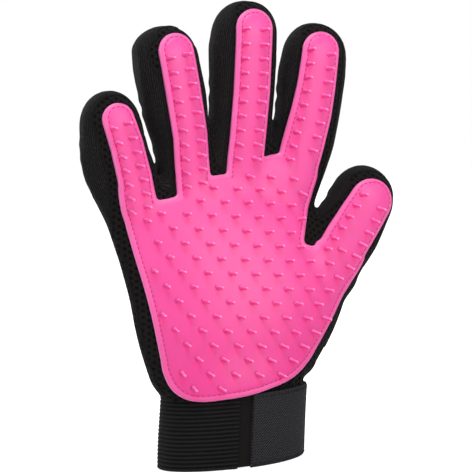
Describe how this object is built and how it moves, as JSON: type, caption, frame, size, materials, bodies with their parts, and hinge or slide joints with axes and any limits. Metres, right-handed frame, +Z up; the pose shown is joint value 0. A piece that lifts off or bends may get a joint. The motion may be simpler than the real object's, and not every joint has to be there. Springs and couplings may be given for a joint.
{
  "type": "pet grooming glove",
  "caption": "Right-hand pet grooming glove: mesh and knit fabric with a nubbed rubber pad over palm and digits, elastic cuff and hook-and-loop closing tab.",
  "frame": {"origin": "centre of the wrist opening, on the plane of the cuff rim", "axes": "+Z up from the wrist opening to the fingertips, +X to the thumb side, the rubber pad faces -Y"},
  "size_m": [0.1651, 0.0497, 0.237],
  "materials": {
    "pink_rubber": "satin silicone",
    "air_mesh": "open mesh",
    "side_knit": "fine knit",
    "ribbed_elastic": "ribbed elastic",
    "lining_cloth": "plain cloth",
    "loop_tape": "brushed loops",
    "twill_tape": "woven twill",
    "hook_tape": "moulded hooks"
  },
  "bodies": {
    "hand": {"palm_front_panel": "air_mesh", "palm_back_panel": "side_knit", "palm_pad": "pink_rubber", "cuff_lining": "lining_cloth", "cuff_elastic": "ribbed_elastic", "cuff_loop_patch": "loop_tape"},
    "little_lower": {"little_lower_front": "air_mesh", "little_lower_back": "side_knit", "little_lower_pad": "pink_rubber"},
    "little_upper": {"little_upper_front": "air_mesh", "little_upper_back": "side_knit", "little_upper_pad": "pink_rubber"},
    "ring_lower": {"ring_lower_front": "air_mesh", "ring_lower_back": "side_knit", "ring_lower_pad": "pink_rubber"},
    "ring_upper": {"ring_upper_front": "air_mesh", "ring_upper_back": "side_knit", "ring_upper_pad": "pink_rubber"},
    "middle_lower": {"middle_lower_front": "air_mesh", "middle_lower_back": "side_knit", "middle_lower_pad": "pink_rubber"},
    "middle_upper": {"middle_upper_front": "air_mesh", "middle_upper_back": "side_knit", "middle_upper_pad": "pink_rubber"},
    "index_lower": {"index_lower_front": "air_mesh", "index_lower_back": "side_knit", "index_lower_pad": "pink_rubber"},
    "index_upper": {"index_upper_front": "air_mesh", "index_upper_back": "side_knit", "index_upper_pad": "pink_rubber"},
    "thumb_lower": {"thumb_lower_front": "air_mesh", "thumb_lower_back": "side_knit", "thumb_lower_pad": "pink_rubber"},
    "thumb_upper": {"thumb_upper_front": "air_mesh", "thumb_upper_back": "side_knit", "thumb_upper_pad": "pink_rubber"},
    "strap_tab": {"tab_backing": "twill_tape", "tab_hook_patch": "hook_tape"}
  },
  "joints": [
    {"name": "little_knuckle", "type": "hinge", "parent": "hand", "child": "little_lower", "pos_m": [-0.04831, -0.01367, 0.14423], "axis": [0.9945, 0, 0.1045], "range_deg": [-10, 75], "stiffness_Nm_per_rad": 0.03},
    {"name": "little_middle_joint", "type": "hinge", "parent": "little_lower", "child": "little_upper", "pos_m": [-0.05391, -0.01643, 0.16336], "axis": [0.9945, 0, 0.1045], "range_deg": [0, 85], "stiffness_Nm_per_rad": 0.02},
    {"name": "ring_knuckle", "type": "hinge", "parent": "hand", "child": "ring_lower", "pos_m": [-0.01868, -0.01447, 0.15711], "axis": [0.9978, 0, 0.0663], "range_deg": [-10, 75], "stiffness_Nm_per_rad": 0.03},
    {"name": "ring_middle_joint", "type": "hinge", "parent": "ring_lower", "child": "ring_upper", "pos_m": [-0.02217, -0.01814, 0.18308], "axis": [0.9978, 0, 0.0663], "range_deg": [0, 85], "stiffness_Nm_per_rad": 0.02},
    {"name": "middle_knuckle", "type": "hinge", "parent": "hand", "child": "middle_lower", "pos_m": [0.0104, -0.01447, 0.16211], "axis": [0.9986, 0, -0.0523], "range_deg": [-10, 75], "stiffness_Nm_per_rad": 0.03},
    {"name": "middle_middle_joint", "type": "hinge", "parent": "middle_lower", "child": "middle_upper", "pos_m": [0.01321, -0.01827, 0.18903], "axis": [0.9986, 0, -0.0523], "range_deg": [0, 85], "stiffness_Nm_per_rad": 0.02},
    {"name": "index_knuckle", "type": "hinge", "parent": "hand", "child": "index_lower", "pos_m": [0.0458, -0.01447, 0.16012], "axis": [0.9945, 0, -0.1045], "range_deg": [-10, 75], "stiffness_Nm_per_rad": 0.03},
    {"name": "index_middle_joint", "type": "hinge", "parent": "index_lower", "child": "index_upper", "pos_m": [0.05079, -0.01789, 0.18409], "axis": [0.9945, 0, -0.1045], "range_deg": [0, 85], "stiffness_Nm_per_rad": 0.02},
    {"name": "thumb_knuckle", "type": "hinge", "parent": "hand", "child": "thumb_lower", "pos_m": [0.058, -0.0176, 0.10603], "axis": [0.8024, -0.2569, -0.5386], "range_deg": [-10, 20], "stiffness_Nm_per_rad": 0.03},
    {"name": "thumb_middle_joint", "type": "hinge", "parent": "thumb_lower", "child": "thumb_upper", "pos_m": [0.06973, -0.02031, 0.1248], "axis": [0.8024, -0.2569, -0.5386], "range_deg": [0, 60], "stiffness_Nm_per_rad": 0.02},
    {"name": "tab_hinge", "type": "hinge", "parent": "hand", "child": "strap_tab", "pos_m": [0.0395, 0, 0], "axis": [0.0995, 0, 0.995], "range_deg": [0, 90], "stiffness_Nm_per_rad": 0.01}
  ]
}
